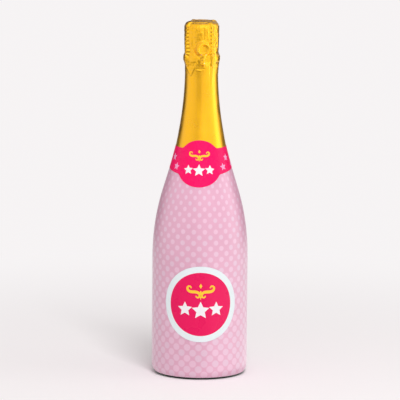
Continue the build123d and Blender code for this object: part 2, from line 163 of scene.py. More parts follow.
# Light tent: grey levels at azimuths in degrees, at the middle, high up and near the floor
TENT_MIDDLE = (
    (-180, 0.7), (-160, 0.7), (-150, 0.06), (-122, 0.08), (-104, 1.0), (-60, 1.02), (-30, 0.85),
    (-18, 0.6), (-8, 0.62), (4, 0.92), (30, 1.05), (60, 1.2), (76, 1.25), (84, 2.1), (104, 2.0),
    (114, 0.6), (124, 0.1), (154, 0.1), (164, 0.7),
)
TENT_HIGH = (
    (-180, 0.12), (-130, 0.1), (-108, 0.6), (-94, 1.0), (-34, 1.0), (-14, 1.2), (2, 1.6),
    (22, 1.6), (40, 1.1), (66, 1.1), (80, 2.0), (96, 1.9), (108, 1.4), (122, 0.9), (140, 0.4),
)
TENT_LOW = (
    (-180, 0.9), (-130, 0.8), (-90, 0.7), (-60, 0.5), (-28, 0.5), (0, 0.4), (14, 0.6), (28, 1.5),
    (46, 1.7), (84, 1.7), (108, 1.5), (136, 1.2), (160, 1.0),
)


def outline(height, offset):
    """Radius of the bottle at a height, moved outwards by an offset: the heel's arc, then the
    straight wall and the shoulder's arc, then a cone, then the neck's hollow arc and straight."""
    height = np.asarray(height, float)
    heel_drop = np.clip(HEEL_HEIGHT - height, 0, None)
    heel = HEEL_CENTRE + np.sqrt(np.clip((HEEL_ARC + offset) ** 2 - heel_drop**2, 0, None))
    climb = np.clip(height - BODY_TOP, 0, None)
    shoulder = SHOULDER_CENTRE + np.sqrt(np.clip((SHOULDER_ARC + offset) ** 2 - climb**2, 0, None))
    shoulder_end = BODY_TOP + (SHOULDER_ARC + offset) * math.sin(SLOPE)
    foot = SHOULDER_CENTRE + (SHOULDER_ARC + offset) * math.cos(SLOPE)
    cone = foot - (height - shoulder_end) * math.tan(SLOPE)
    drop = np.clip(NECK_TOP - height, 0, None)
    neck = NECK_CENTRE - np.sqrt(np.clip((NECK_ARC - offset) ** 2 - drop**2, 0, None))
    neck_start = NECK_TOP - (NECK_ARC - offset) * math.sin(SLOPE)
    return np.where(
        height < HEEL_HEIGHT,
        heel,
        np.where(height <= shoulder_end, shoulder, np.where(height < neck_start, cone, neck)),
    )


# Distance of the badge's middle from the tip of the cone that it is rolled on
BADGE_SLANT = float(outline(BADGE_MIDDLE, LABEL_BACK)) / math.sin(SLOPE)


def around(azimuth, radius, height):
    """Points at an azimuth from the front, a radius and a height: (r sin, -r cos, z)."""
    azimuth, radius, height = np.broadcast_arrays(azimuth, radius, height)
    return np.stack([radius * np.sin(azimuth), -radius * np.cos(azimuth), height], axis=-1)


def soft_noise(azimuth, along, period, seed):
    """Smooth random heights from -1 to 1: random values on a unit lattice, blended by the
    smoothstep curve, with a number of steps in a full turn."""
    across = azimuth * period / (2 * math.pi)
    values = np.random.default_rng(seed).uniform(-1, 1, (256, period))
    row, column = np.floor(along).astype(int), np.floor(across).astype(int)
    up, side = along - row, across - column
    up, side = up * up * (3 - 2 * up), side * side * (3 - 2 * side)

    def corner(i, j):
        return values[(row + i) % 256, (column + j) % period]

    low = corner(0, 0) * (1 - side) + corner(0, 1) * side
    high = corner(1, 0) * (1 - side) + corner(1, 1) * side
    return low * (1 - up) + high * up


def facets(azimuth, along, period, seed):
    """Crumpled heights from 0 up: round each random centre stands a pyramid, turned at random,
    and the surface is the lowest of the pyramids, so flat facets meet in sharp creases."""
    across = azimuth * period / (2 * math.pi)
    chance = np.random.default_rng(seed)
    spots = chance.uniform(0.1, 0.9, (256, period, 2))
    turns = chance.uniform(0, math.pi / 2, (256, period))
    lifts = chance.uniform(0, 0.5, (256, period))
    row, column = np.floor(along).astype(int), np.floor(across).astype(int)
    lowest = np.full(np.broadcast(across, along).shape, 9.0)
    for i in (-1, 0, 1):
        for j in (-1, 0, 1):
            r, c = (row + i) % 256, (column + j) % period
            dx = across - column - j - spots[r, c, 0]
            dy = along - row - i - spots[r, c, 1]
            cos, sin = np.cos(turns[r, c]), np.sin(turns[r, c])
            pyramid = np.maximum(np.abs(dx * cos + dy * sin), np.abs(dy * cos - dx * sin))
            lowest = np.minimum(lowest, pyramid + lifts[r, c])
    return lowest


def smooth_max(first, second, width):
    """The larger of two heights, rounded where they cross: max plus a parabola of that width."""
    gap = np.clip(width - np.abs(first - second), 0, None) / width
    return np.maximum(first, second) + gap * gap * width / 4


def turn_from(azimuth, degrees):
    """Azimuth counted from an angle in degrees, from minus to plus half a turn."""
    return (azimuth - math.radians(degrees) + math.pi) % (2 * math.pi) - math.pi


def capped(rings):
    """Loops of points with one more at each end, shrunk to the middle of the end loop."""
    first, last = [
        end.mean(axis=1, keepdims=True).repeat(rings.shape[1], axis=1) for end in (rings[:1], rings[-1:])
    ]
    return np.concatenate([first, rings, last])


def build_piece(name, rings, chart=None, ends="open", crease=40.0):
    """Mesh of a surface of two parameters: rings of points, each closed, one after another. Ends
    say if the last ring joins the first, or if both end rings shrink to a point. The chart gives
    each point its place on the print, with one more column than the ring has points."""
    count, size = rings.shape[:2]
    columns = np.arange(size)
    nexts = (columns + 1) % size
    rows = np.arange(count if ends == "join" else count - 1)
    if ends == "poles":
        rows = rows[1:-1]
    low, high = rows[:, None] * size, ((rows + 1) % count)[:, None] * size
    corners = [low + columns, low + nexts, high + nexts, high + columns]
    faces = np.stack(corners, axis=-1).reshape(-1, 4)
    face_list = faces.tolist()
    if chart is not None:
        wide = size + 1
        low, high = rows[:, None] * wide, ((rows + 1) % count)[:, None] * wide
        spots = [low + columns, low + columns + 1, high + columns + 1, high + columns]
        chart_flat = chart.reshape(-1, 2)
        uvs = [chart_flat[np.stack(spots, axis=-1).reshape(-1)]]
    if ends == "poles":
        last = (count - 1) * size
        first_fan = np.stack([np.zeros(size, int), size + nexts, size + columns], axis=-1)
        last_fan = np.stack([last - size + columns, last - size + nexts, np.full(size, last)], axis=-1)
        face_list += first_fan.tolist() + last_fan.tolist()
        if chart is not None:
            ring, tip = chart[1], chart[0]
            uvs.append(np.stack([tip[:-1], ring[1:], ring[:-1]], axis=1).reshape(-1, 2))
            ring, tip = chart[-2], chart[-1]
            uvs.append(np.stack([ring[:-1], ring[1:], tip[:-1]], axis=1).reshape(-1, 2))
    points = rings.reshape(-1, 3) * MM
    if ends == "poles":
        kept = np.concatenate([[0], np.arange(size, last), [last]])
        renumber = np.zeros(count * size, int)
        renumber[kept] = np.arange(len(kept))
        points = points[kept]
        face_list = [[int(renumber[i]) for i in face] for face in face_list]
    mesh = bpy.data.meshes.new(name)
    mesh.from_pydata(points.tolist(), [], face_list)
    if chart is not None:
        layer = mesh.uv_layers.new(name="print")
        layer.data.foreach_set("uv", np.concatenate(uvs).astype(np.float32).ravel())
    mesh.polygons.foreach_set("use_smooth", [True] * len(mesh.polygons))
    mesh.set_sharp_from_angle(angle=math.radians(crease))
    mesh.update()
    piece = bpy.data.objects.new(name, mesh)
    bpy.context.scene.collection.objects.link(piece)
    return piece


def finish_piece(piece, body, material, replaced=None):
    """Gives a piece its material and its body, and hides the node of the solid model that it stands for."""
    piece.data.materials.append(material)
    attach(piece, body)
    if replaced:
        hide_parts(replaced)


# Shader helpers


def node(tree, kind, inputs=None, **settings):
    """Adds a shader node, sets it, and fills its inputs with values or links."""
    made = tree.nodes.new(kind)
    for key, value in settings.items():
        setattr(made, key, value)
    for key, value in (inputs or {}).items():
        if isinstance(value, bpy.types.NodeSocket):
            tree.links.new(value, made.inputs[key])
        else:
            made.inputs[key].default_value = value
    return made


def maths(tree, operation, *values):
    """Result of a maths node on values or links."""
    made = node(tree, "ShaderNodeMath", dict(enumerate(values)), operation=operation)
    return made.outputs[0]


def remap(tree, value, low, high, to_low=0.0, to_high=1.0, smooth=True):
    """Result of a map range node, smoothed or linear."""
    made = node(
        tree,
        "ShaderNodeMapRange",
        {"Value": value, "From Min": low, "From Max": high, "To Min": to_low, "To Max": to_high},
        interpolation_type="SMOOTHSTEP" if smooth else "LINEAR",
    )
    return made.outputs[0]


def blend(tree, factor, first, second):
    """Colour mixed from two colours or links."""
    inputs = {0: factor, 6: first, 7: second}
    return node(tree, "ShaderNodeMix", inputs, data_type="RGBA").outputs[2]


def noise(tree, place, scale, detail=2.0):
    """Value of a noise texture at a place."""
    inputs = {"Vector": place, "Scale": scale, "Detail": detail}
    return node(tree, "ShaderNodeTexNoise", inputs).outputs["Fac"]


def length_of(tree, vector):
    """Length of a vector."""
    return node(tree, "ShaderNodeVectorMath", {0: vector}, operation="LENGTH").outputs["Value"]


def two_tones(tree, share, first, second):
    """Colour between two tones, by a colour ramp."""
    ramp = node(tree, "ShaderNodeValToRGB", {"Fac": share})
    for element, tone in zip(ramp.color_ramp.elements, (first, second)):
        element.color = (*tone, 1)
    return ramp.outputs[0]


def new_material(name, **values):
    """A material with a Principled BSDF, its node tree and that shader."""
    material = bpy.data.materials.new(name)
    material.use_nodes = True
    tree = material.node_tree
    shader = tree.nodes["Principled BSDF"]
    for key, value in values.items():
        shader.inputs[key.replace("_", " ")].default_value = value
    return material, tree, shader


def object_place(tree, scale=1.0):
    """Object coordinates, scaled alike or per axis."""
    place = node(tree, "ShaderNodeTexCoord").outputs["Object"]
    factors = (scale,) * 3 if isinstance(scale, (int, float)) else scale
    return node(tree, "ShaderNodeMapping", {"Vector": place, "Scale": factors}).outputs[0]


def bump(tree, height, strength, distance):
    """Normal from a height."""
    values = {"Height": height, "Strength": strength, "Distance": distance}
    return node(tree, "ShaderNodeBump", values).outputs[0]


def surface(made, colour, value, roughness, relief):
    """Links a new material's colour, its roughness, which runs between two values with a noise,
    and its relief, given as a bump's height, strength and distance. Returns the material."""
    material, tree, shader = made
    rough = remap(tree, value, *NOISE_RANGE, *roughness)
    for name, link in (("Base Color", colour), ("Roughness", rough), ("Normal", bump(tree, *relief))):
        tree.links.new(link, shader.inputs[name])
    return material


def make_mottle_group():
    """Mottle: a colour that drifts a little lighter and darker, and the fine grain under it."""
    group = bpy.data.node_groups.new("mottle", "ShaderNodeTree")
    inputs = ("Place Vector", "Colour Color", "Drift Float", "Drift Scale Float", "Grain Scale Float")
    outputs = ("Colour Color", "Drift Float", "Grain Float")
    for way, sockets in (("INPUT", inputs), ("OUTPUT", outputs)):
        for socket in sockets:
            label, kind = socket.rsplit(" ", 1)
            group.interface.new_socket(label, in_out=way, socket_type="NodeSocket" + kind)
    given, out = group.nodes.new("NodeGroupInput").outputs, group.nodes.new("NodeGroupOutput").inputs
    wide = noise(group, given["Place"], given["Drift Scale"], 3.0)
    fine = noise(group, given["Place"], given["Grain Scale"])
    change = maths(group, "MULTIPLY_ADD", maths(group, "SUBTRACT", wide, 0.5), given["Drift"], 1.0)
    scaled = node(group, "ShaderNodeVectorMath", {0: given["Colour"], "Scale": change}, operation="SCALE")
    for name, link in (("Colour", scaled.outputs[0]), ("Drift", wide), ("Grain", fine)):
        group.links.new(link, out[name])


def mottled(tree, colour, drift, drift_scale, grain_scale=2000.0, place=None):
    """Outputs of the mottle group on a colour or link: the drifted colour, the drift, the grain."""
    inputs = {
        "Place": object_place(tree) if place is None else place,
        "Colour": colour if isinstance(colour, bpy.types.NodeSocket) else (*colour, 1),
        "Drift": drift,
        "Drift Scale": drift_scale,
        "Grain Scale": grain_scale,
    }
    return node(tree, "ShaderNodeGroup", inputs, node_tree=bpy.data.node_groups["mottle"]).outputs


def gold_material(name, colour, crinkle):
    """Lacquered foil: gold metal with a fine embossed grain, small creases and dulled patches."""
    made = new_material(name, Metallic=1.0, Coat_Weight=0.45, Coat_Roughness=0.1)
    tree = made[1]
    mottle = mottled(tree, colour, 0.12, 90.0, 2600.0)
    place = object_place(tree, (330.0, 330.0, 190.0))
    creases = node(tree, "ShaderNodeTexVoronoi", {"Vector": place, "Scale": 1.0}, distance="MANHATTAN")
    grain = maths(tree, "MULTIPLY", mottle["Grain"], 0.05)
    height = maths(tree, "MULTIPLY_ADD", creases.outputs["Distance"], crinkle, grain)
    return surface(made, mottle["Colour"], mottle["Drift"], (0.27, 0.37), (height, 0.6, 0.0004))


def ink_material(name, colour):
    """Printed ink on gloss paper: a flat colour with a faint drift and the paper's grain."""
    made = new_material(name, Coat_Weight=0.05, Specular_IOR_Level=0.16)
    mottle = mottled(made[1], colour, 0.08, 120.0)
    relief = (mottle["Grain"], *PAPER_RELIEF)
    return surface(made, mottle["Colour"], mottle["Drift"], (0.24, 0.32), relief)


def film_material(settings):
    """Shrink film: a pale pink ground with two crossed lattices of round pearly dots. A dot is
    where the distance to the nearest lattice point is under the dot's radius, which shrinks from
    the foot to the shoulder, and each dot has its own tint."""
    made = new_material("Dotted shrink film", IOR=1.75, Coat_Weight=0.25, Coat_Roughness=0.2)
    tree = made[1]
    chart = node(tree, "ShaderNodeUVMap", uv_map="print").outputs[0]
    parts = node(tree, "ShaderNodeSeparateXYZ", {0: chart}).outputs
    mottle = mottled(tree, settings.film, 0.1, 60.0)
    colour = mottle["Colour"]
    pitches = {"X": settings.dot_pitch_across / MM, "Y": settings.dot_pitch_up / MM}
    foot_row, last_row = (SLEEVE_FOOT - DOT_ROW) / pitches["Y"], 2.0
    radii = settings.dot_radius_foot / MM, settings.dot_radius / MM
    radius = remap(tree, parts["Y"], foot_row, last_row, *radii, smooth=False)
    inside, outside = maths(tree, "SUBTRACT", radius, DOT_FADE), maths(tree, "ADD", radius, DOT_FADE)
    for shift in (0.0, 0.5):
        cells, squares = [], []
        for axis, pitch in pitches.items():
            moved = maths(tree, "ADD", parts[axis], shift)
            cell = maths(tree, "ROUND", moved)
            cells.append(maths(tree, "FLOORED_MODULO", cell, DOTS_ROUND) if axis == "X" else cell)
            gap = maths(tree, "MULTIPLY", maths(tree, "SUBTRACT", moved, cell), pitch)
            squares.append(maths(tree, "POWER", gap, 2.0))
        reach = maths(tree, "SQRT", maths(tree, "ADD", *squares))
        mask = remap(tree, reach, inside, outside, settings.dot_strength, 0.0)
        spot = node(tree, "ShaderNodeCombineXYZ", {0: cells[0], 1: cells[1], 2: shift * 7}).outputs[0]
        chance = node(tree, "ShaderNodeTexWhiteNoise", {"Vector": spot}, noise_dimensions="3D")
        tint = two_tones(tree, chance.outputs["Value"], settings.dot_cool, settings.dot_warm)
        colour = blend(tree, mask, colour, tint)
    ripple = noise(tree, object_place(tree, (30.0, 30.0, 14.0)), 1.0)
    height = maths(tree, "MULTIPLY_ADD", mottle["Grain"], 0.01, ripple)
    return surface(made, colour, mottle["Drift"], (0.3, 0.38), (height, 0.35, 0.001))


def label_material(settings):
    """Round label: gloss white paper with a pink disc, where the distance on the print from the
    middle is under the disc's radius."""
    made = new_material("Round label print", Coat_Weight=0.05, Specular_IOR_Level=0.2)
    tree = made[1]
    reach = length_of(tree, node(tree, "ShaderNodeUVMap", uv_map="print").outputs[0])
    disc, fade = settings.disc_radius / MM, 0.08
    mask = remap(tree, reach, disc - fade, disc + fade, 1.0, 0.0)
    printed = blend(tree, mask, (*settings.paper, 1), (*settings.pink, 1))
    mottle = mottled(tree, printed, 0.06, 70.0)
    relief = (mottle["Grain"], *PAPER_RELIEF)
    return surface(made, mottle["Colour"], mottle["Drift"], (0.25, 0.33), relief)


def glass_material(settings):
    """Dark green bottle glass with faint streaks in its surface."""
    made = new_material("Dark green glass", Transmission_Weight=1.0, IOR=1.52)
    streaks = object_place(made[1], (60.0, 60.0, 18.0))
    mottle = mottled(made[1], settings.glass, 0.2, 1.0, 9.0, streaks)
    return surface(made, mottle["Colour"], mottle["Grain"], (0.02, 0.06), (mottle["Drift"], 0.2, 0.0006))


def wire_material(settings):
    """Galvanised wire: bright zinc with spangled patches and fine drawing lines."""
    made = new_material("Galvanised wire", Metallic=1.0)
    mottle = mottled(made[1], settings.wire, 0.5, 900.0, 4000.0)
    return surface(made, mottle["Colour"], mottle["Drift"], (0.22, 0.45), (mottle["Grain"], 0.3, 0.00008))


def plate_material(settings):
    """Lacquered tinplate: gold with brushed rings, where noise is read along the radius."""
    made = new_material("Gold tinplate", Metallic=1.0, Coat_Weight=0.3, Coat_Roughness=0.1)
    tree = made[1]
    place = node(tree, "ShaderNodeTexCoord").outputs["Object"]
    flat = node(tree, "ShaderNodeVectorMath", {0: place, 1: (1.0, 1.0, 0.0)}, operation="MULTIPLY")
    along = maths(tree, "MULTIPLY", length_of(tree, flat.outputs[0]), 9000.0)
    inputs = {"W": along, "Scale": 1.0, "Detail": 2.0}
    rings = node(tree, "ShaderNodeTexNoise", inputs, noise_dimensions="1D").outputs["Fac"]
    mottle = mottled(tree, settings.plate, 0.2, 150.0, place=place)
    return surface(made, mottle["Colour"], rings, (0.2, 0.36), (rings, 0.2, 0.00005))


def cork_material(name, settings, granule, streak):
    """Cork: cells of mixed browns with dark gaps between them, stretched for natural cork, where
    long dark pores run across the disc."""
    made = new_material(name)
    tree = made[1]
    place = object_place(tree, (1.0, 1.0, 1.0 / streak))
    wobble = node(tree, "ShaderNodeTexNoise", {"Vector": place, "Scale": granule * 2, "Detail": 2.0})
    inputs = {0: wobble.outputs["Color"], 1: (0.25 / granule,) * 3, 2: place}
    moved = node(tree, "ShaderNodeVectorMath", inputs, operation="MULTIPLY_ADD").outputs[0]
    inputs = {"Vector": moved, "Scale": granule}
    cells = node(tree, "ShaderNodeTexVoronoi", inputs).outputs["Color"]
    edges = node(tree, "ShaderNodeTexVoronoi", inputs, feature="DISTANCE_TO_EDGE").outputs["Distance"]
    share = node(tree, "ShaderNodeSeparateColor", {0: cells}).outputs[0]
    browns = two_tones(tree, share, settings.cork_dark, settings.cork_light)
    gap_colour = (0.10, 0.045, 0.02, 1)
    dark = blend(tree, remap(tree, edges, 0.0, 0.07, 0.55, 0.0), browns, gap_colour)
    mottle = mottled(tree, dark, 0.5, 500.0, 3000.0, place)
    height = maths(tree, "MULTIPLY_ADD", mottle["Grain"], 0.3, remap(tree, edges, 0.0, 0.12))
    return surface(made, mottle["Colour"], mottle["Drift"], (0.75, 0.95), (height, 0.5, 0.0003))


# Shapes of the pieces


def sleeve_surface(settings):
    """Film tube: at each azimuth and height, the glass outline moved out by the film's place, with
    an overlap at the back where the radius steps up by a smooth band. Out and up, in and down."""
    columns = 256
    turn = np.linspace(-math.pi, math.pi, columns + 1)
    rows_out = np.concatenate(
        [
            np.linspace(SLEEVE_FOOT, HEEL_HEIGHT, 9)[:-1],
            np.linspace(HEEL_HEIGHT, BODY_TOP, 12)[:-1],
            np.linspace(BODY_TOP, SLEEVE_TOP, 60),
        ]
    )
    rows_in = np.linspace(SLEEVE_TOP, SLEEVE_FOOT, 40)
    height = np.concatenate([rows_out, rows_in])[:, None]
    side = np.concatenate([np.full(len(rows_out), SKIN_FACE), np.full(len(rows_in), SKIN_BACK)])[:, None]
    lap_half, lap_step, lap_sink, steepness = 0.07, 0.045, 0.025, 4
    overlap = np.clip(1 - np.abs(np.abs(turn) - math.pi) / lap_half, 0, 1) * steepness
    lap = np.where(side > SKIN_BACK, (np.clip(overlap, 0, 1) - 1) * lap_step - lap_sink, 0)
    radius = np.where(side > SKIN_BACK, outline(height, SKIN_FACE), outline(height, SKIN_BACK)) + lap
    rows_up = (height - DOT_ROW) / (settings.dot_pitch_up / MM)
    across = (turn - settings.dot_turn) * DOTS_ROUND / (2 * math.pi)
    chart = np.stack(np.broadcast_arrays(across, rows_up), axis=-1)
    return around(turn[:-1], radius[:, :-1], height), chart


def label_place(side, up, offset):
    """Point of the round label: the print's side distance is wrapped round the body as an angle."""
    height = LABEL_MIDDLE + up
    wrap = BODY_RADIUS + LABEL_FACE
    return around(side / wrap + LABEL_TURN, outline(height, 0) + offset, height)


def badge_place(side, up, offset):
    """Point of the neck badge: the flat print is rolled onto the neck's cone, so its distance to
    the cone's tip stays and its angle there widens to an azimuth."""
    slant = np.hypot(side, BADGE_SLANT - up)
    swing = np.arctan2(side, BADGE_SLANT - up) / math.sin(SLOPE)
    height = BADGE_MIDDLE + (BADGE_SLANT - slant) * math.cos(SLOPE)
    return around(swing + BADGE_TURN, outline(height, 0) + offset, height)


def collar_place(azimuth):
    """Place for a small print on the collar at an azimuth: its height lies along the slope and its
    side distance is wrapped round the neck."""

    def place(side, up, offset):
        height = BADGE_MIDDLE + up * math.cos(SLOPE)
        neck = outline(height, 0)
        return around(azimuth + side / (neck + LABEL_FACE), neck + offset, height)

    return place


def disc_surface():
    """Closed thin disc of the round label: rings grow from the middle of the back to the rim, turn
    over it, and shrink to the middle of the front."""
    front, behind = np.linspace(0, LABEL_RADIUS, 20), np.linspace(LABEL_RADIUS, 0, 12)
    reach = np.concatenate([behind[::-1], front[::-1]])[:, None]
    offset = np.repeat((LABEL_BACK, LABEL_FACE), (len(behind), len(front)))[:, None]
    turn = np.linspace(0, 2 * math.pi, 161)
    side, up = reach * np.cos(turn), reach * np.sin(turn)
    return label_place(side[:, :-1], up[:, :-1], offset), np.stack([side, up], axis=-1)


def star_surface(place, centre, radius, turn):
    """Closed thin five-pointed star: its edge runs straight from tip to notch, each run cut in
    three, and shrinks to the middle on the front and the back."""
    corner = np.arange(11) * math.pi / 5 + math.pi / 2 + turn
    reach = np.where(np.arange(11) % 2 == 0, radius, radius * STAR_NOTCH)
    tips = np.stack([reach * np.cos(corner), reach * np.sin(corner)], axis=-1)
    share = np.array([0, 1 / 3, 2 / 3])[:, None]
    edge = np.concatenate([a * (1 - share) + b * share for a, b in zip(tips, tips[1:])])
    scale = np.array([0.0, 1.0, 1.0, 0.75, 0.5, 0.25, 0.0])[:, None, None]
    offset = np.repeat((INK_BACK, INK_FACE), (2, 5))[:, None]
    flat = edge * scale + np.asarray(centre)
    return place(flat[..., 0], flat[..., 1], offset)


def ribbon_surface(place, path, width):
    """Closed thin ribbon: across each point of a path stand two edges, half a width to each side
    along the path's normal, on the front and on the back."""
    along = np.gradient(path, axis=0)
    along /= np.linalg.norm(along, axis=1)[:, None]
    half = np.stack([-along[:, 1], along[:, 0]], axis=-1) * (width / 2)[:, None]
    left, right = path + half, path - half
    ring = capped(np.stack([left, path, right, right, path, left], axis=1))
    return place(ring[..., 0], ring[..., 1], np.repeat((INK_FACE, INK_BACK), 3))


def scroll_paths(width):
    """Paths of a symmetrical scroll: on each side an S whose bend grows evenly with its length, so
    both ends curl up, and a drop and a lozenge in the middle. Returns (path, ribbon width) pairs."""
    unit = width / 25.0
    share = np.linspace(-1, 1, 120)
    reach = 1.78 * share
    heading = math.pi / 2 * reach**2
    step = np.gradient(reach)
    curve = np.stack([np.cumsum(np.cos(heading) * step), np.cumsum(np.sin(heading) * step)], axis=-1)
    curve -= (curve[0] + curve[-1]) / 2
    thickness = (1.05 + 1.6 * np.cos(math.pi / 2 * share) ** 1.2) * unit
    found = []
    for side in (-1, 1):
        found.append(((curve * 7.3 + (6.6, 0)) * (side * unit, unit), thickness))
    share = np.linspace(0, 1, 30)
    drop = np.stack([0 * share, (-7.4 + 8.6 * share) * unit], axis=-1)
    found.append((drop, (0.2 + 2.5 * np.sin(math.pi * share**1.4)) * unit))
    lozenge = np.stack([0 * share, (3.2 + 4.4 * share) * unit], axis=-1)
    found.append((lozenge, (0.15 + 2.7 * (1 - np.abs(2 * share - 1))) * unit))
    return found


def join_pieces(name, parts):
    """One piece from several closed ones, for repeated small shapes."""
    points, faces, start = [], [], 0
    for part in parts:
        mesh = part.data
        found = np.zeros(len(mesh.vertices) * 3)
        mesh.vertices.foreach_get("co", found)
        points.append(found.reshape(-1, 3))
        faces += [[start + i for i in face.vertices] for face in mesh.polygons]
        start += len(mesh.vertices)
        bpy.data.objects.remove(part)
        bpy.data.meshes.remove(mesh)
    mesh = bpy.data.meshes.new(name)
    mesh.from_pydata(np.concatenate(points).tolist(), [], faces)
    mesh.update()
    piece = bpy.data.objects.new(name, mesh)
    bpy.context.scene.collection.objects.link(piece)
    return piece


def collar_edges(azimuth):
    """Lower and upper edge of the collar at each azimuth: the band's edge or the badge's circle,
    whichever reaches further, with a fillet where they meet. The band widens below, next to the
    badge, evenly with the azimuth."""
    away = azimuth - BADGE_TURN
    widest = math.asin(BADGE_RADIUS / BADGE_SLANT)
    swing = np.clip(np.abs(away) * math.sin(SLOPE), 0, widest)
    half = np.sqrt(np.clip(BADGE_RADIUS**2 - (BADGE_SLANT * np.sin(swing)) ** 2, 0, None))
    edges = []
    flare = COLLAR_FLARE * np.clip(1 - (np.abs(away) - FLARE_START) / FLARE_LENGTH, 0, 1)
    for way, band in ((-1, COLLAR_FOOT - flare), (1, COLLAR_TOP)):
        slant = BADGE_SLANT * np.cos(swing) - way * half
        circle = BADGE_MIDDLE + (BADGE_SLANT - slant) * math.cos(SLOPE)
        edges.append(way * smooth_max(way * circle, way * band, COLLAR_FILLET))
    return edges


def collar_surface():
    """Collar: at each azimuth a closed loop runs down the outer face and up the inner one, between
    the two edges. The end loops at the seam shrink to a point."""
    seam = COLLAR_SEAM / 2 / outline((COLLAR_FOOT + COLLAR_TOP) / 2, LABEL_FACE)
    wing, back = 1.2, math.pi - seam
    runs = np.linspace(-back, -wing, 60), np.linspace(-wing, wing, 301), np.linspace(wing, back, 60)
    azimuth = np.concatenate([runs[0][:-1], runs[1][:-1], runs[2]])
    low, high = collar_edges(azimuth)
    share = np.linspace(0, 1, 40)
    down = high[:, None] * (1 - share) + low[:, None] * share
    height = np.concatenate([down, down[:, ::-1]], axis=1)
    radius = np.concatenate([outline(down, LABEL_FACE), outline(down[:, ::-1], LABEL_BACK)], axis=1)
    return capped(around(azimuth[:, None], radius, height))


def wire_cap(distance):
    """Height of foil over a wire: a round top, then straight flanks that fall away at a slope."""
    steep = 1.1
    edge = WIRE_REACH * math.sin(math.atan(steep))
    line = WIRE_REACH * math.hypot(1, steep) - steep * distance
    return np.where(distance < edge, np.sqrt(np.clip(WIRE_REACH**2 - distance**2, 0, None)), line)


def eased_turn(share):
    """Share of a twist done at a share of its length: slow over the first and last parts."""
    share = np.clip(share, 0, 1)
    start = share**2 / (2 * TWIST_EASE * (1 - TWIST_EASE))
    end = 1 - (1 - share) ** 2 / (2 * TWIST_EASE * (1 - TWIST_EASE))
    middle = (share - TWIST_EASE / 2) / (1 - TWIST_EASE)
    return np.where(share < TWIST_EASE, start, np.where(share > 1 - TWIST_EASE, end, middle))


def twist_ridge(lateral, share, turns):
    """Foil over two twisted strands: the higher of two wire caps, whose sideways and outward
    shifts are the cosine and sine of the twist's angle."""
    angle = 2 * math.pi * turns * eased_turn(share)
    side, lift = STRAND_OFFSET * np.cos(angle), STRAND_OFFSET * np.sin(angle)
    return np.maximum(lift + wire_cap(np.abs(lateral - side)), -lift + wire_cap(np.abs(lateral + side)))


def crease_height(azimuth, height, start, end, lift, width):
    """One crease: a roof-shaped ridge, or valley if the lift is negative, along a straight run on
    the unrolled neck, from start to end as (degrees, height), fading over the width."""
    neck = 16.0
    across, up = turn_from(azimuth, start[0]) * neck, height - start[1]
    run = np.array([math.radians(end[0] - start[0]) * neck, end[1] - start[1]])
    length = max(np.hypot(*run), 0.01)
    along = np.clip((across * run[0] + up * run[1]) / length**2, 0, 1)
    distance = np.hypot(across - along * run[0], up - along * run[1])
    taper = np.clip(4 * along * (1 - along), 0.15, 1) ** 0.5
    return lift * taper * np.clip(1 - distance / width, 0, None) ** 1.3


# Main folds of the foil: start and end as (degrees from the front, height), lift and width
FOLDS = (
    ((-29, 322), (-30, 303), -0.8, 1.3),
    ((-30, 303), (-17, 291), -0.5, 1.2),
    ((-5, 294), (-37, 276.8), 0.6, 1.3),
    ((-72, 291), (-40, 276.8), 0.5, 1.3),
    ((8, 320), (9, 308), -0.6, 1.0),
    ((20, 322), (24, 306), 0.35, 1.3),
    ((49, 322), (46, 303), -0.7, 1.1),
    ((46, 300), (43, 286), -0.6, 1.1),
    ((31, 291), (33, 262), -0.4, 1.0),
    ((38, 290), (39, 268), 0.35, 1.2),
    ((-14, 283.2), (14, 282.6), -0.4, 0.9),
    ((-20, 281.6), (0, 281.0), 0.4, 0.9),
    ((-8, 280), (-5, 236), -0.16, 2.2),
    ((64, 322), (66, 300), 0.3, 1.3),
    ((-74, 320), (-70, 298), -0.3, 1.3),
)

# Places where the foil spans from the ring to the neck: middle and half width in degrees, lift
DRAPES = ((-48, 38, 0.75), (25, 20, 0.45), (88, 30, 0.6), (150, 36, 0.75), (-140, 34, 0.6))


def main_folds(azimuth, height):
    """Sum of the main folds, and of the foil's drapes under the ring: each stands off by a height
    that fades as a cosine over the azimuth and as a triangle down the neck."""
    total = sum(crease_height(azimuth, height, *fold) for fold in FOLDS)
    for middle, half, lift in DRAPES:
        away = turn_from(azimuth, middle) / math.radians(half)
        wide = np.cos(np.clip(away, -1, 1) * math.pi / 2) ** 0.7
        tall = np.interp(height, (275.5, 284.5, 289.5), (0, 1, 0))
        total = total + lift * wide * tall
    return total


def random_folds(azimuth, height, amount):
    """Sum of random creases, mostly upright, round the whole neck. They are low where the loop
    shows in the foil."""
    total = 0.0
    chance = np.random.default_rng(11)
    for _ in range(90):
        turn, foot = chance.uniform(-180, 180), chance.uniform(279, 320)
        lean, length = chance.normal(0, 14), chance.uniform(4, 15)
        lift, width = chance.uniform(-0.34, 0.34), chance.uniform(0.7, 1.4)
        if -40 < turn < 20 and 285 < foot < 300:
            lift *= 0.3
        end = (turn + lean, min(foot + length, 323))
        total = total + crease_height(azimuth, height, (turn, foot), end, lift * amount, width)
    return total


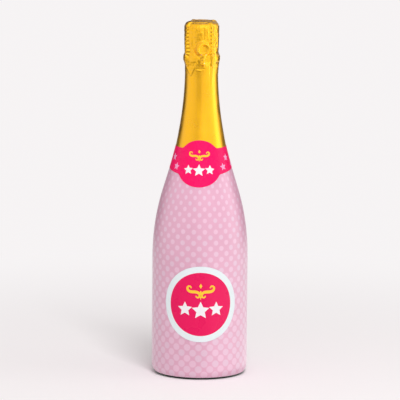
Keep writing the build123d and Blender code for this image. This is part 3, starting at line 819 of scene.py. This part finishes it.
def hood_section():
    """Rows of the hood's section, foot to top: a side whose radius follows the neck, the belt, the
    ring, the throat and the cork's head, a quarter round, and a slightly domed top."""
    fine = np.linspace(HOOD_SIDE[0][0], HOOD_SIDE[-1][0], 1500)
    blur = np.arange(-40, 41)
    kernel = np.exp(-0.5 * (blur / 14.0) ** 2)
    padded = np.pad(np.interp(fine, *np.array(HOOD_SIDE).T), blur[-1], mode="edge")
    radius = np.convolve(padded, kernel / kernel.sum(), mode="valid")
    side = np.linspace(TEAR_HEIGHT + 0.05, EDGE_HEIGHT - 0.1, SIDE_ROWS)
    reach = np.linspace(TOP_REACH, 0, TOP_ROWS + 1)[1:]
    rows = (
        (np.interp(side, fine, radius), side),
        (TOP_REACH + EDGE_ROUND * np.cos(BEND), EDGE_HEIGHT + EDGE_ROUND * np.sin(BEND)),
        (reach, EDGE_HEIGHT + EDGE_ROUND + TOP_DOME * (1 - (reach / TOP_REACH) ** 4)),
    )
    return np.concatenate([np.stack(row, axis=-1) for row in rows])


def leg_lift(section):
    """Height of a leg's middle line above the section, row by row: on the side from the leg's
    radius, round the bend from its larger bend, and on the top from its height."""
    radius, height = section.T
    lift = np.interp(height, LEG_HEIGHTS, LEG_RADII) - radius
    lift -= np.clip(286.0 - height, 0, None) * 0.8
    lift[ON_BEND] = 1.7 * np.cos(BEND) + 1.6 * np.sin(BEND) - 0.9 - WIRE_REACH
    lift[ON_TOP] = CROWN_WIRE_HEIGHT - height[ON_TOP] - np.clip(10.4 - radius[ON_TOP], 0, None) * 1.5
    return lift[:, None]


def least_lift(section):
    """Lowest that the foil may lie against the section: a little above the belt, the ring and the
    cork's head on the side, and just over the plaque's round edge on the bend."""
    heights, lowest = (283, 285, 294, 297, 312, 319), (-0.1, -0.1, -0.15, -0.4, -0.35, -0.3)
    least = np.interp(section[:, 1], heights, lowest)
    ahead = 1.7 * np.cos(BEND) + 1.95 * np.sin(BEND)
    beside = 1.7 * np.sin(BEND) - 1.95 * np.cos(BEND)
    least[ON_BEND] = ahead + np.sqrt(2.6**2 - beside**2) - EDGE_ROUND
    least[ON_TOP] = -0.25
    return least[:, None]


def knot(lift, height, middle, lateral, shape):
    """Foil over the end of a twist: a bump that falls as a parabola upwards and sideways."""
    top, upright, sideways = shape
    return lift + top - upright * (height - middle) ** 2 - sideways * lateral**2


def leg_forms(azimuth, radius, height, lift, on_side, angle):
    """Heights of foil over one leg: its twisted strands with a knot at their foot, and a soft veil
    that falls away straight on both sides."""
    away = azimuth - math.radians(angle)
    ahead = np.cos(away) > LEG_SHOWN
    lateral = radius * np.sin(away)
    twist = np.where(on_side, (TWIST_TOP - height) / (TWIST_TOP - TWIST_FOOT), 0)
    ridge = lift + twist_ridge(lateral, twist, TWIST_TURNS)
    bulge = knot(lift, height, KNOT_HEIGHT, lateral, LEG_KNOT)
    ridge = np.maximum(ridge, np.where(on_side, bulge, NOWHERE))
    sway = VEIL_SWAY * soft_noise(azimuth, height / 2.6, 12, 21)
    veil = lift + VEIL_LIFT + sway - VEIL_SLOPE * np.abs(lateral)
    return np.where(ahead, ridge, NOWHERE), np.where(ahead & on_side, veil, NOWHERE)


def loop_forms(azimuth, radius, height, on_side):
    """Heights of foil over the loop, which lies in a plane before the neck: a span that falls away
    round it, the loop with a shallow dish inside, and the twisted stem with a knot at its top."""
    away = azimuth - math.radians(LOOP_ANGLE)
    ahead = np.cos(away) > LOOP_SHOWN
    away = np.where(ahead, away, 0)
    lateral = LOOP_PLANE * np.tan(away)
    plane = LOOP_PLANE / np.cos(away) - radius
    spread = np.hypot(LOOP_PLANE * away, height - LOOP_HEIGHT)
    span = LOOP_PLANE - radius + SPAN_LIFT - SPAN_SLOPE * np.abs(spread - LOOP_RADIUS)
    reach = np.hypot(lateral, height - LOOP_HEIGHT)
    rim = LOOP_RADIUS + WIRE_REACH
    dish = np.where(reach < rim, DISH_LIFT - DISH_DEPTH * (1 - (reach / rim) ** 4), NOWHERE)
    eye = plane + np.maximum(wire_cap(np.abs(reach - LOOP_RADIUS)), dish)
    share = (height - STEM_FOOT) / (STEM_TOP - STEM_FOOT)
    stem = plane + twist_ridge(lateral, share, -1)
    foot, top = STEM_SHOWN
    stem -= STEM_SLOPE * (np.clip(foot - height, 0, None) + np.clip(height - top, 0, None))
    stem = np.maximum(stem, knot(plane, height, STEM_TOP, lateral, LOOP_KNOT))
    return [np.where(ahead & on_side, form, NOWHERE) for form in (span, eye, stem)]


def hood_surface(settings):
    """Foil hood: the section turned round the axis and moved out along its normal by the highest
    of the foil over the legs, the loop, its stem and the crown ring, and by folds and crumples.
    Rings run from the middle of the inside, down, round the foot, up and over to the middle."""
    section = hood_section()
    tangent = np.gradient(section, axis=0)
    tangent /= np.linalg.norm(tangent, axis=1)[:, None]
    normal = np.stack([tangent[:, 1], -tangent[:, 0]], axis=-1)
    radius, height = section[:, :1], section[:, 1:]
    azimuth = np.linspace(-math.pi, math.pi, HOOD_COLUMNS + 1)[:-1]
    rows = np.arange(len(section))[:, None]
    on_side, on_top = rows < SIDE_ROWS, rows >= ON_TOP.start
    lift = leg_lift(section)
    relief = np.zeros((len(section), len(azimuth)))
    wires = np.full(relief.shape, NOWHERE)
    for angle in LEG_ANGLES:
        ridge, veil = leg_forms(azimuth, radius, height, lift, on_side, angle)
        wires = np.maximum(wires, ridge + 0.3 * np.exp(-((height - TWIST_TOP) ** 2)))
        relief = smooth_max(smooth_max(relief, ridge, 0.5), veil, 0.3)
    span, *wired = loop_forms(azimuth, radius, height, on_side)
    relief = smooth_max(relief, span, 0.6)
    for ridge in wired:
        wires = np.maximum(wires, ridge)
        relief = smooth_max(relief, ridge, 0.5)
    ring = CROWN_WIRE_HEIGHT - height + wire_cap(np.abs(radius - CROWN_RING))
    wires = np.where(on_top, np.maximum(wires, ring), wires)
    relief = np.where(on_top, smooth_max(relief, ring + 0 * relief, 0.4), relief)
    along = np.cumsum(np.linalg.norm(np.diff(section, axis=0, prepend=section[:1]), axis=1))[:, None]
    calm = np.where(on_side, 1, np.clip(radius / 14, 0, 1))
    crumple = facets(azimuth, along / 4.2, 24, 5) + 0.5 * facets(azimuth, along / 2.1, 48, 6)
    relief = relief + calm * settings.crumple / MM * (crumple - 1.0)
    relief = relief + calm * random_folds(azimuth, height, 1.0)
    relief = relief + calm * 0.15 * soft_noise(azimuth, along / 8, 12, 3)
    foot = np.clip((height - TEAR_HEIGHT) / 1.5, 0, 1)
    relief = np.where(on_side, relief * foot, relief) + calm * main_folds(azimuth, height)
    relief = np.maximum(relief, np.maximum(wires - 0.03, least_lift(section)))
    outer_height = np.minimum(height + normal[:, 1:] * relief, HOOD_LIMIT)
    outer = around(azimuth, radius + normal[:, :1] * relief, outer_height)
    picks = np.linspace(0, len(section) - 1, 64).round().astype(int)
    lowest = relief.copy()
    for shift in (-2, -1, 1, 2):
        for axis in (0, 1):
            lowest = np.minimum(lowest, np.roll(relief, shift, axis=axis))
    inward = (lowest - 0.12)[picks]
    inner = around(
        azimuth,
        radius[picks] + normal[picks, :1] * inward,
        height[picks] + normal[picks, 1:] * inward * np.where(on_side[picks], 0, 1),
    )
    rings = np.concatenate([inner[::-1], outer])
    rings[0] = (0, 0, inner[-1, :, 2].mean())
    rings[-1] = (0, 0, outer[-1, :, 2].mean())
    return rings


def skirt_surface():
    """Neck foil: the glass outline moved out by the foil, with the folds that run down from the
    hood, soft dents, and the wrap's overlap at the back. Up outside and down inside."""
    finer = 255.0
    rows = [np.linspace(SKIRT_FOOT, finer, 60)[:-1], np.linspace(finer, TEAR_HEIGHT, 90)]
    inner_rows = np.linspace(TEAR_HEIGHT, SKIRT_FOOT, 20)
    azimuth = np.linspace(-math.pi, math.pi, 321)[:-1]
    height = np.concatenate(rows)[:, None]
    near = np.clip((height - 215) / 60, 0, 1)
    dents = 0.05 * near * soft_noise(azimuth, height / 22, 14, 8)
    dents = dents + 0.03 * soft_noise(azimuth, height / 30, 9, 9)
    lap = 0.12 * np.clip((azimuth - 2.75) / 0.02, 0, 1) * np.clip((3.1 - azimuth) / 0.2, 0, 1)
    settle = np.clip((TEAR_HEIGHT - height) / 1.2, 0, 1)
    creases = near * random_folds(azimuth, height, 0.5) + dents
    relief = creases * settle + near * main_folds(azimuth, height)
    slack = FOIL_SLACK * np.clip((height - COLLAR_TOP) / 14, 0, 1)
    relief = np.maximum(relief + lap, -0.1) + slack
    outer = around(azimuth, outline(height, SKIN_FACE) + relief, height)
    inner = around(azimuth, outline(inner_rows[:, None], SKIN_BACK) + 0 * azimuth, inner_rows[:, None])
    return np.concatenate([outer, inner])


# Settings


def colour_setting(name, description, *default):
    """Setting for a colour."""
    return FloatVectorProperty(name=name, description=description, subtype="COLOR", default=default)


def length_setting(name, description, default):
    """Setting for a length in metres."""
    return FloatProperty(name=name, description=description, unit="LENGTH", precision=5, default=default)


def angle_setting(name, description, degrees):
    """Setting for an angle, given in degrees."""
    return FloatProperty(name=name, description=description, subtype="ANGLE", default=math.radians(degrees))


class FilmSettings(bpy.types.PropertyGroup):
    """Sizes and colours of the shrink film."""

    film: colour_setting("Film", "Ground colour of the film", 0.73, 0.375, 0.515)
    dot_cool: colour_setting("Cool Dot", "Coolest colour of a dot", 0.76, 0.575, 0.695)
    dot_warm: colour_setting("Warm Dot", "Warmest colour of a dot", 0.85, 0.56, 0.70)
    dot_strength: FloatProperty(
        name="Dot Strength", description="How far a dot covers the film", subtype="FACTOR", default=0.62
    )
    dot_radius: length_setting("Dot Radius", "Radius of a dot on the shoulder", 0.00195)
    dot_radius_foot: length_setting("Foot Dot Radius", "Radius of a dot at the foot", 0.0033)
    dot_pitch_across: length_setting("Pitch Across", "Spacing of the dots round the body", 0.01056)
    dot_pitch_up: length_setting("Pitch Up", "Spacing of the dots up the body", 0.01015)
    dot_turn: angle_setting("Dot Turn", "Azimuth of a column of dots", 0.0)


class LabelSettings(bpy.types.PropertyGroup):
    """Sizes and colours of the round label and the collar."""

    paper: colour_setting("Paper", "Colour of the white paper", 0.785, 0.86, 0.88)
    pink: colour_setting("Pink", "Colour of the printed disc", 0.81, 0.004, 0.105)
    collar_pink: colour_setting("Collar Pink", "Colour of the collar", 0.94, 0.001, 0.125)
    white: colour_setting("White Ink", "Colour of the white stars", 0.88, 0.86, 0.88)
    yellow: colour_setting("Yellow Ink", "Colour of the scroll", 0.95, 0.60, 0.04)
    pale: colour_setting("Pale Ink", "Colour of the collar's stars", 0.93, 0.36, 0.60)
    disc_radius: length_setting("Disc Radius", "Radius of the printed disc", 0.0293)
    star_radius: length_setting("Star Radius", "Radius of a star on the collar", 0.0037)


class FoilSettings(bpy.types.PropertyGroup):
    """Sizes and colours of the foil."""

    gold: colour_setting("Gold", "Colour of the foil", 0.99, 0.50, 0.008)
    crumple: length_setting("Crumple", "Depth of the hood's facets", 0.0004)


class ClosureSettings(bpy.types.PropertyGroup):
    """Colours of the glass and of the parts under the foil."""

    glass: colour_setting("Glass", "Tint of the glass", 0.10, 0.21, 0.08)
    wire: colour_setting("Wire", "Colour of the wire", 0.62, 0.62, 0.60)
    plate: colour_setting("Plaque", "Colour of the plaque", 0.80, 0.50, 0.13)
    cork_light: colour_setting("Light Cork", "Lightest cork granule", 0.62, 0.38, 0.19)
    cork_dark: colour_setting("Dark Cork", "Darkest cork granule", 0.30, 0.15, 0.06)


class StageSettings(bpy.types.PropertyGroup):
    """Camera, floor and light."""

    azimuth: angle_setting("Azimuth", "Camera's azimuth from the front", 1.03)
    elevation: angle_setting("Elevation", "Camera's height angle", 9.6)
    roll: angle_setting("Roll", "Camera's roll", 0.46)
    distance: length_setting("Distance", "Camera's distance", 4.5)
    view_width: length_setting("View Width", "Width of the view at the bottle", 0.36608)
    target_height: length_setting("Target Height", "Height that the camera aims at", 0.1596)
    target_side: length_setting("Target Side", "Sideways shift of the aim", -0.00043)
    pale: colour_setting("Backdrop", "Colour of the backdrop", 0.925, 0.90, 0.905)
    ambient: FloatProperty(name="Ambient", description="Strength of the even light", default=0.58)


SETTINGS = {
    "bottle_film": FilmSettings,
    "bottle_labels": LabelSettings,
    "bottle_foil": FoilSettings,
    "bottle_closure": ClosureSettings,
    "bottle_stage": StageSettings,
}


# Operators


def dress_node(name, material):
    """Puts a material on a node of the solid model."""
    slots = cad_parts[name].data.materials
    slots.clear()
    slots.append(material)


def add_print(name, material, surfaces):
    """Adds small closed prints as one piece on the bottle."""
    parts = [build_piece("print", rings, ends="poles") for rings in surfaces]
    finish_piece(join_pieces(name, parts), "bottle", material)


def add_emblem(name, place, emblem):
    """Adds an emblem of white stars under a yellow scroll, as two pieces."""
    stars, width, lift = emblem
    inks = bpy.data.materials
    shapes = [star_surface(place, (side, up), radius, 0) for side, up, radius in stars]
    add_print(name + "_stars", inks["White ink"], shapes)
    shapes = [ribbon_surface(place, path + (0, lift), wide) for path, wide in scroll_paths(width)]
    add_print(name + "_scroll", inks["Yellow ink"], shapes)


class BOTTLE_OT_glass(bpy.types.Operator):
    """Give the glass bottle its dark green glass"""

    bl_idname = "bottle.glass"
    bl_label = "Glass"

    def execute(self, context):
        make_mottle_group()
        dress_node("glass_bottle", glass_material(context.scene.bottle_closure))
        return {"FINISHED"}


class BOTTLE_OT_closure(bpy.types.Operator):
    """Give the cork, the plaque and the wires their finishes"""

    bl_idname = "bottle.closure"
    bl_label = "Cork, Plaque and Wires"

    def execute(self, context):
        settings = context.scene.bottle_closure
        dress_node("cork_body", cork_material("Agglomerate cork", settings, 420.0, 1.0))
        natural = cork_material("Natural cork", settings, 260.0, 2.2)
        dress_node("cork_disc_upper", natural)
        dress_node("cork_disc_lower", natural)
        dress_node("cap_plate", plate_material(settings))
        wire = wire_material(settings)
        for name in ("cage_wire", "belt_wire", "wire_loop"):
            dress_node(name, wire)
        return {"FINISHED"}


class BOTTLE_OT_sleeve(bpy.types.Operator):
    """Make the dotted shrink film on the body"""

    bl_idname = "bottle.sleeve"
    bl_label = "Shrink Film"

    def execute(self, context):
        settings = context.scene.bottle_film
        rings, chart = sleeve_surface(settings)
        piece = build_piece("shrink_film", rings, chart, ends="join")
        finish_piece(piece, "bottle", film_material(settings), "body_sleeve")
        return {"FINISHED"}


class BOTTLE_OT_round_label(bpy.types.Operator):
    """Make the round label with its stars and scroll"""

    bl_idname = "bottle.round_label"
    bl_label = "Round Label"

    def execute(self, context):
        settings = context.scene.bottle_labels
        rings, chart = disc_surface()
        piece = build_piece("round_label", rings, chart, ends="poles")
        finish_piece(piece, "bottle", label_material(settings), "front_label")
        ink_material("White ink", settings.white)
        ink_material("Yellow ink", settings.yellow)
        add_emblem("label", label_place, LABEL_EMBLEM)
        return {"FINISHED"}


class BOTTLE_OT_collar(bpy.types.Operator):
    """Make the collar label with its badge and stars"""

    bl_idname = "bottle.collar"
    bl_label = "Collar Label"

    def execute(self, context):
        settings = context.scene.bottle_labels
        piece = build_piece("collar_label", collar_surface(), ends="poles")
        pink = ink_material("Collar print", settings.collar_pink)
        finish_piece(piece, "bottle", pink, "neck_label")
        places = []
        spacing, shift, up, furthest = 36, 1.5, 4.0, 172
        for step in range(4):
            for side in (-1, 1):
                places.append((side * (50 + spacing * step) - shift, -up, 0.1 * side))
                places.append((side * (64.5 + spacing * step) - shift, up, -0.15 * side))
        radius = settings.star_radius / MM
        stars = [
            star_surface(collar_place(math.radians(angle)), (0, up), radius, turn)
            for angle, up, turn in places
            if abs(angle) <= furthest
        ]
        add_print("collar_stars", ink_material("Pale ink", settings.pale), stars)
        add_emblem("badge", badge_place, BADGE_EMBLEM)
        return {"FINISHED"}


class BOTTLE_OT_foil(bpy.types.Operator):
    """Make the neck foil and the crinkled hood over the wire cage"""

    bl_idname = "bottle.foil"
    bl_label = "Foil"

    def execute(self, context):
        settings = context.scene.bottle_foil
        skirt = build_piece("neck_foil", skirt_surface(), ends="join")
        smooth = gold_material("Smooth gold foil", settings.gold, 0.1)
        finish_piece(skirt, "bottle", smooth, "foil_skirt")
        hood = build_piece("crown_foil", hood_surface(settings), ends="poles", crease=50.0)
        crinkled = gold_material("Crinkled gold foil", settings.gold, 0.5)
        finish_piece(hood, "hood", crinkled, "foil_hood")
        return {"FINISHED"}


def direction(azimuth, elevation):
    """Unit vector from the bottle towards an azimuth and an elevation."""
    flat = math.cos(elevation)
    return Vector((math.sin(azimuth) * flat, -math.cos(azimuth) * flat, math.sin(elevation)))


def add_lamp(name, azimuth, elevation, distance, size, power):
    """Area lamp that faces the bottle, hidden from the camera and from reflections."""
    lamp = bpy.data.lights.new(name, "AREA")
    lamp.shape = "RECTANGLE"
    lamp.size, lamp.size_y = size
    lamp.energy = power
    holder = bpy.data.objects.new(name, lamp)
    bpy.context.scene.collection.objects.link(holder)
    away = direction(math.radians(azimuth), math.radians(elevation))
    holder.location = away * distance + Vector((0, 0, 0.16))
    holder.rotation_euler = away.to_track_quat("Z", "Y").to_euler()
    for ray in ("visible_camera", "visible_glossy", "visible_transmission"):
        setattr(holder, ray, False)


def stage_piece(name, profile):
    """Open surface of revolution for the stage, from a profile of (radius, height) in metres."""
    turn = np.linspace(0, 2 * math.pi, 97)[:-1]
    radius, height = np.array(profile).T[..., None]
    rings = np.stack([radius * np.cos(turn), radius * np.sin(turn), height + 0 * turn], axis=-1)
    piece = build_piece(name, rings / MM)
    return piece


def seen_rays(tree):
    """1 for the rays of the camera, of reflections and through glass, otherwise 0."""
    paths = node(tree, "ShaderNodeLightPath").outputs
    seen = maths(tree, "MAXIMUM", paths["Is Camera Ray"], paths["Is Glossy Ray"])
    return maths(tree, "MAXIMUM", seen, paths["Is Transmission Ray"])


def add_floor(settings):
    """Floor: a flat disc. Near the bottle it takes light and shadow, and further out the camera and
    reflections see the backdrop's colour. From below it is clear."""
    floor = stage_piece("floor", [(reach, 0) for reach in (14.0, 5.0, 2.0, 1.0, 0.5, 0.2, 0.0001)])
    material, tree, shader = new_material("Floor", Roughness=0.8, Specular_IOR_Level=0.0)
    shader.inputs["Base Color"].default_value = (0.93, 0.895, 0.905, 1)
    reach = length_of(tree, node(tree, "ShaderNodeTexCoord").outputs["Object"])
    far = maths(tree, "MULTIPLY", remap(tree, reach, 0.12, 0.62), seen_rays(tree))
    glow = node(tree, "ShaderNodeEmission", {"Color": (*settings.pale, 1), "Strength": 1.0})
    upper = node(tree, "ShaderNodeMixShader", {0: far, 1: shader.outputs[0], 2: glow.outputs[0]})
    clear = node(tree, "ShaderNodeBsdfTransparent")
    back = node(tree, "ShaderNodeNewGeometry").outputs["Backfacing"]
    whole = node(tree, "ShaderNodeMixShader", {0: back, 1: upper.outputs[0], 2: clear.outputs[0]})
    tree.links.new(whole.outputs[0], tree.nodes["Material Output"].inputs["Surface"])
    floor.data.materials.append(material)


def tent_ramp(tree, share, stops):
    """Grey level over the azimuth, from rising stops of (degrees, level)."""
    ramp = node(tree, "ShaderNodeValToRGB", {"Fac": share})
    elements = ramp.color_ramp.elements
    while len(elements) < len(stops):
        elements.new(0.5)
    for element, (angle, level) in zip(elements, stops):
        element.position = (angle + 180) / 360
        element.color = (level, level, level, 1)
    return ramp.outputs[0]


def add_tent():
    """Light tent that only reflections see: bright panels and dark gaps round the bottle, as soft
    steps over the azimuth, and a lid that goes on from the panels in front and is even behind."""
    floor_ring = ((0.06, 0.002), (0.549, 0.002))
    wall_and_lid = ((0.55, 0.3), (0.55, 0.6), (0.55, 1.0), (0.3, 1.12), (0.0001, 1.15))
    tent = stage_piece("light_tent", floor_ring + wall_and_lid)
    for ray in ("visible_camera", "visible_diffuse", "visible_shadow", "visible_volume_scatter"):
        setattr(tent, ray, False)
    material = bpy.data.materials.new("Light tent")
    material.use_nodes = True
    tree = material.node_tree
    tree.nodes.remove(tree.nodes["Principled BSDF"])
    place = node(tree, "ShaderNodeTexCoord").outputs["Object"]
    parts = node(tree, "ShaderNodeSeparateXYZ", {0: place}).outputs
    turned = maths(tree, "ARCTAN2", parts["X"], maths(tree, "MULTIPLY", parts["Y"], -1.0))
    share = maths(tree, "MULTIPLY_ADD", turned, 1 / (2 * math.pi), 0.5)
    low, middle, high = [tent_ramp(tree, share, stops) for stops in (TENT_LOW, TENT_MIDDLE, TENT_HIGH)]
    mixed = blend(tree, remap(tree, parts["Z"], 0.02, 0.09), low, middle)
    mixed = blend(tree, remap(tree, parts["Z"], 0.3, 0.4), mixed, high)
    lid = blend(tree, remap(tree, parts["Y"], -0.2, 0.3), high, (0.8, 0.8, 0.8, 1))
    mixed = blend(tree, remap(tree, parts["Z"], 0.65, 0.95), mixed, lid)
    glow = node(tree, "ShaderNodeEmission", {"Color": mixed, "Strength": 1.0})
    tree.links.new(glow.outputs[0], tree.nodes["Material Output"].inputs["Surface"])
    tent.data.materials.append(material)


class BOTTLE_OT_stage(bpy.types.Operator):
    """Set up the floor, the light and the camera"""

    bl_idname = "bottle.stage"
    bl_label = "Stage"

    def execute(self, context):
        settings = context.scene.bottle_stage
        context.scene.view_settings.view_transform = "Standard"
        world = bpy.data.worlds.new("Studio")
        world.use_nodes = True
        context.scene.world = world
        tree = world.node_tree
        even = tree.nodes["Background"]
        even.inputs["Color"].default_value = (1, 0.99, 0.98, 1)
        even.inputs["Strength"].default_value = settings.ambient
        seen = node(tree, "ShaderNodeBackground", {"Color": (*settings.pale, 1), "Strength": 1.0})
        inputs = {0: seen_rays(tree), 1: even.outputs[0], 2: seen.outputs[0]}
        mixed = node(tree, "ShaderNodeMixShader", inputs)
        tree.links.new(mixed.outputs[0], tree.nodes["World Output"].inputs["Surface"])
        add_floor(settings)
        add_tent()
        add_lamp("key_softbox", 14, 50, 2.6, (0.87, 0.87), 35.0)
        add_lamp("right_fill", 80, 30, 1.8, (1.0, 1.4), 2.0)
        camera = bpy.data.objects.new("camera", bpy.data.cameras.new("camera"))
        context.scene.collection.objects.link(camera)
        camera.data.lens = camera.data.sensor_width * settings.distance / settings.view_width
        camera.data.clip_start, camera.data.clip_end = 0.1, 60.0
        back = direction(settings.azimuth, settings.elevation)
        across = Vector((math.cos(settings.azimuth), math.sin(settings.azimuth), 0)) * settings.target_side
        camera.location = Vector((0, 0, settings.target_height)) + across + back * settings.distance
        turn = back.to_track_quat("Z", "Y").to_matrix() @ Matrix.Rotation(settings.roll, 3, "Z")
        camera.rotation_euler = turn.to_euler()
        context.scene.camera = camera
        return {"FINISHED"}


class BOTTLE_PT_panel(bpy.types.Panel):
    """Lists the bottle's pieces and their settings"""

    bl_idname = "BOTTLE_PT_panel"
    bl_label = "Bottle"
    bl_space_type = "VIEW_3D"
    bl_region_type = "UI"
    bl_category = "Bottle"

    def draw(self, context):
        for operator in STEPS:
            self.layout.operator(operator.bl_idname)
        for name, group in SETTINGS.items():
            box = self.layout.box()
            box.label(text=group.__doc__)
            for key in group.__annotations__:
                box.prop(getattr(context.scene, name), key)


STEPS = (
    BOTTLE_OT_glass,
    BOTTLE_OT_closure,
    BOTTLE_OT_sleeve,
    BOTTLE_OT_round_label,
    BOTTLE_OT_collar,
    BOTTLE_OT_foil,
    BOTTLE_OT_stage,
)
CLASSES = (*SETTINGS.values(), *STEPS, BOTTLE_PT_panel)


def register():
    for item in CLASSES:
        bpy.utils.register_class(item)
    for name, group in SETTINGS.items():
        setattr(bpy.types.Scene, name, PointerProperty(type=group))


def unregister():
    for name in SETTINGS:
        delattr(bpy.types.Scene, name)
    for item in reversed(CLASSES):
        bpy.utils.unregister_class(item)


def main():
    register()
    for operator in STEPS:
        module, name = operator.bl_idname.split(".")
        getattr(getattr(bpy.ops, module), name)()


if __name__ == "__main__":
    main()
